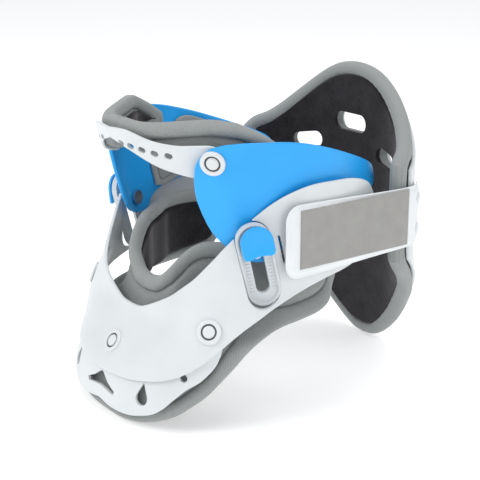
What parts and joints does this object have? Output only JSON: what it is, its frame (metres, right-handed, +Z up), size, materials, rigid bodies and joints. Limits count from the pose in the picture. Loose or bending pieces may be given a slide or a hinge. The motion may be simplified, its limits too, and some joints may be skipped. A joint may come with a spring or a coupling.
{
  "type": "cervical collar",
  "caption": "Two-piece rigid neck collar with a height-adjustable chin support, foam pads and side straps.",
  "frame": {"origin": "centre of the footprint on the surface the collar stands on, under the neck opening", "axes": "+Z up through the neck opening, -Y towards the front and chin, +X to the wearer's left"},
  "size_m": [0.1606, 0.2104, 0.1846],
  "materials": {
    "white_shell": "satin white polyethylene",
    "rivet": "satin grey-white nylon rivet",
    "grey_knit": "grey knitted cover over foam",
    "black_lining": "black brushed lining",
    "blue_plastic": "blue polypropylene, satin",
    "pin_metal": "bright steel",
    "strap_white": "soft white strap tongue",
    "loop_fabric": "warm grey woven loop tape",
    "hook_fabric": "white hook tape"
  },
  "bodies": {
    "front": {"front_shell": "white_shell", "sternal_flap": "white_shell", "front_rivets": "rivet", "front_pad": "grey_knit", "front_pad_lining": "black_lining", "slot_frame_left": "white_shell", "slot_frame_right": "white_shell", "ratchet_rail_left": "white_shell", "ratchet_rail_right": "white_shell"},
    "chin_frame": {"arm_left": "blue_plastic", "arm_right": "blue_plastic", "arm_rivets": "rivet", "arm_pad_left": "grey_knit", "arm_pad_right": "grey_knit"},
    "chin_rest": {"chin_plate": "white_shell", "chin_pad": "grey_knit", "chin_pad_lining": "black_lining"},
    "button_left": {"height_button_left": "blue_plastic", "slider_pin_left": "pin_metal", "lock_pawl_left": "pin_metal"},
    "button_right": {"height_button_right": "blue_plastic", "slider_pin_right": "pin_metal", "lock_pawl_right": "pin_metal"},
    "rear_panel": {"rear_shell": "white_shell", "rear_pad": "grey_knit", "rear_pad_lining": "black_lining", "strap_left": "strap_white", "strap_right": "strap_white", "loop_patch_left": "loop_fabric", "loop_patch_right": "loop_fabric", "hook_patch_left": "hook_fabric", "hook_patch_right": "hook_fabric", "strap_rivets": "rivet"}
  },
  "joints": [
    {"name": "chin_height", "type": "slide", "parent": "front", "child": "chin_frame", "axis": [0, -0.2419, 0.9703], "range_m": [-0.022, 0]},
    {"name": "chin_tilt", "type": "hinge", "parent": "chin_frame", "child": "chin_rest", "pos_m": [0, -0.0631, 0.151], "axis": [1, 0, 0], "range_deg": [-6, 6]},
    {"name": "press_left", "type": "slide", "parent": "chin_frame", "child": "button_left", "axis": [-0.8988, 0.4253, 0.1061], "range_m": [0, 0.0012], "stiffness_N_per_m": 2000},
    {"name": "press_right", "type": "slide", "parent": "chin_frame", "child": "button_right", "axis": [0.8988, 0.4253, 0.1061], "range_m": [0, 0.0012], "stiffness_N_per_m": 2000},
    {"name": "rear_panel_off", "type": "slide", "parent": "front", "child": "rear_panel", "axis": [0, 1, 0], "range_m": [0, 0.12]}
  ]
}
